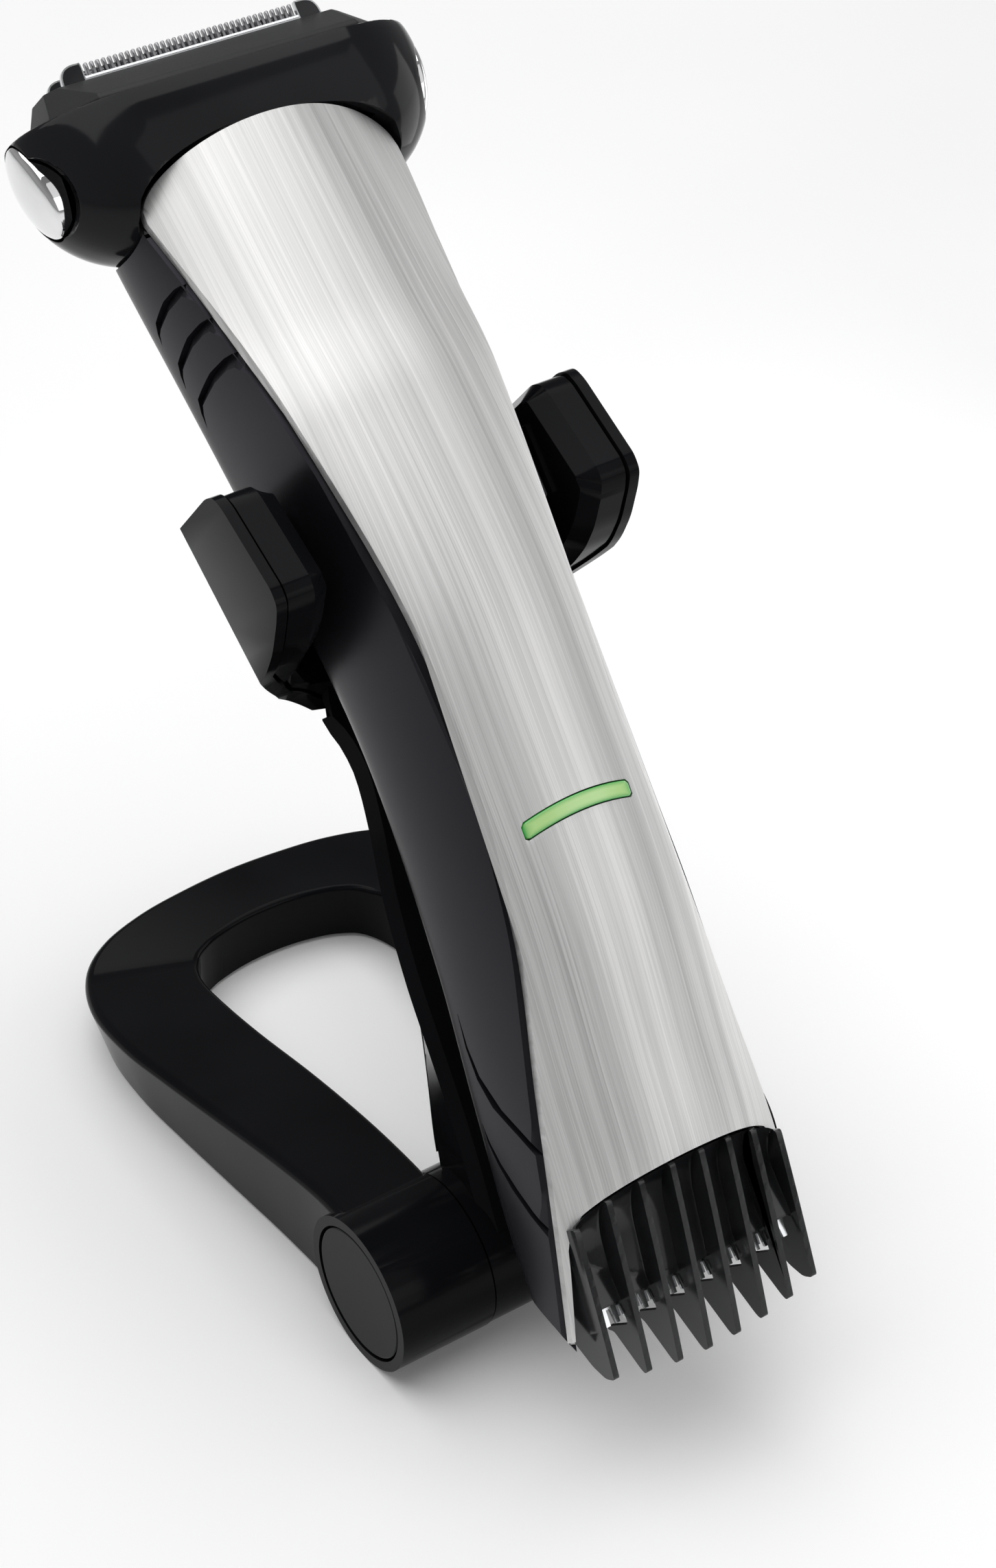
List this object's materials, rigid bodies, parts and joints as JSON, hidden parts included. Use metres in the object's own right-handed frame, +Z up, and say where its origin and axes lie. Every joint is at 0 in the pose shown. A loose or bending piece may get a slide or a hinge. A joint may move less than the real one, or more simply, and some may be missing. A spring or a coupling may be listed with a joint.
{
  "type": "body groomer in a charging stand",
  "caption": "Double-ended cordless body groomer, foil shaver head on top and trimmer with comb at the tip, leaning in a folding charging stand.",
  "frame": {"origin": "on the surface that the stand rests on, under the centre of the whole object's box", "axes": "+Z up, +X to the groomer's right as seen from its silver front, -Y towards the front"},
  "size_m": [0.0736, 0.1376, 0.1648],
  "materials": {
    "gloss_black_shell": "high-gloss black moulding",
    "satin_black_plastic": "satin black moulding",
    "polished_steel": "fine machined steel",
    "blade_steel": "polished ground blade steel",
    "black_rubber": "matt rubber",
    "contact_metal": "satin contact metal",
    "soft_black_grip": "soft-touch black with a satin sheen",
    "brushed_silver_cover": "bright silver, brushed lengthways",
    "light_bar_lens": "pale green lit lens",
    "battery_wrap": "shrink wrap",
    "circuit_board_green": "green board",
    "smoky_comb_plastic": "smoky translucent black",
    "dark_grey_frame": "semi-gloss dark grey",
    "button_chrome": "mirror chrome"
  },
  "bodies": {
    "stand_base": {"stand_base_loop": "gloss_black_shell", "stand_floor_plate": "satin_black_plastic", "stand_ballast_bar": "polished_steel", "stand_charging_inlet": "satin_black_plastic", "stand_inlet_contact_pin": "polished_steel", "stand_foot_front_left": "black_rubber", "stand_foot_front_right": "black_rubber", "stand_foot_rear_left": "black_rubber", "stand_foot_rear_right": "black_rubber", "stand_screw_front_left": "polished_steel", "stand_screw_front_right": "polished_steel", "stand_screw_rear_left": "polished_steel", "stand_screw_rear_right": "polished_steel", "stand_hinge_cap_left": "gloss_black_shell", "stand_hinge_cap_right": "gloss_black_shell", "stand_hinge_pin": "polished_steel"},
    "stand_arm": {"stand_arm_shell": "gloss_black_shell", "stand_arm_rear_cover": "gloss_black_shell", "stand_contact_left": "contact_metal", "stand_contact_right": "contact_metal", "stand_cradle_pad": "black_rubber"},
    "handle": {"handle_rear_housing": "soft_black_grip", "handle_front_cover": "brushed_silver_cover", "handle_light_bar": "light_bar_lens", "battery_cell": "battery_wrap", "circuit_board": "circuit_board_green", "inner_chassis": "satin_black_plastic", "shaver_motor": "polished_steel", "trimmer_motor": "polished_steel", "charging_pad_left": "contact_metal", "charging_pad_right": "contact_metal", "housing_screw_1": "polished_steel", "housing_screw_2": "polished_steel", "trimmer_base": "satin_black_plastic", "trimmer_fixed_blade": "blade_steel"},
    "power_switch": {"power_switch": "satin_black_plastic"},
    "shaver_drive": {"shaver_drive": "polished_steel"},
    "trimmer_drive": {"trimmer_drive": "polished_steel"},
    "trimmer_blade": {"trimmer_moving_blade": "blade_steel"},
    "comb": {"body_comb": "smoky_comb_plastic"},
    "head": {"head_pod": "gloss_black_shell", "head_mounting_ring": "satin_black_plastic"},
    "release_button_left": {"release_button_left": "button_chrome"},
    "release_button_right": {"release_button_right": "button_chrome"},
    "foil_float": {"foil_frame": "dark_grey_frame", "shaving_foil": "blade_steel", "front_guard_comb": "blade_steel", "rear_guard_comb": "blade_steel"},
    "cutter": {"cutter_carrier": "satin_black_plastic", "inner_cutter": "blade_steel", "front_trimmer_blade": "blade_steel", "rear_trimmer_blade": "blade_steel"}
  },
  "joints": [
    {"name": "arm_fold", "type": "hinge", "parent": "stand_base", "child": "stand_arm", "pos_m": [0, -0.0266, 0.01215], "axis": [-1, 0, 0], "range_deg": [0, 46]},
    {"name": "groomer_lift", "type": "slide", "parent": "stand_arm", "child": "handle", "axis": [0, -0.7302, 0.6833], "range_m": [0, 0.045]},
    {"name": "head_pull_off", "type": "slide", "parent": "handle", "child": "head", "axis": [0, 0.6833, 0.7302], "range_m": [0, 0.03]},
    {"name": "comb_pull_off", "type": "slide", "parent": "handle", "child": "comb", "axis": [0, -0.6833, -0.7302], "range_m": [0, 0.022]},
    {"name": "power_switch_slide", "type": "slide", "parent": "handle", "child": "power_switch", "axis": [0, 0.6833, 0.7302], "range_m": [-0.003, 0.003]},
    {"name": "shaver_drive_spin", "type": "hinge", "parent": "handle", "child": "shaver_drive", "pos_m": [0, 0.03446, 0.13149], "axis": [0, 0.6833, 0.7302], "continuous": true},
    {"name": "trimmer_drive_spin", "type": "hinge", "parent": "handle", "child": "trimmer_drive", "pos_m": [0, -0.04685, 0.0446], "axis": [0, 0.6833, 0.7302], "continuous": true},
    {"name": "trimmer_blade_slide", "type": "slide", "parent": "handle", "child": "trimmer_blade", "axis": [1, 0, 0], "range_m": [-0.001, 0.001]},
    {"name": "release_button_left_press", "type": "slide", "parent": "head", "child": "release_button_left", "axis": [1, 0, 0], "range_m": [0, 0.0012], "stiffness_N_per_m": 800, "springref_m": -0.0006},
    {"name": "release_button_right_press", "type": "slide", "parent": "head", "child": "release_button_right", "axis": [-1, 0, 0], "range_m": [0, 0.0012], "stiffness_N_per_m": 800, "springref_m": -0.0006},
    {"name": "foil_float_press", "type": "slide", "parent": "head", "child": "foil_float", "axis": [0, -0.6833, -0.7302], "range_m": [0, 0.0015], "stiffness_N_per_m": 600, "springref_m": -0.0006},
    {"name": "cutter_slide", "type": "slide", "parent": "foil_float", "child": "cutter", "axis": [1, 0, 0], "range_m": [-0.0012, 0.0012]}
  ]
}
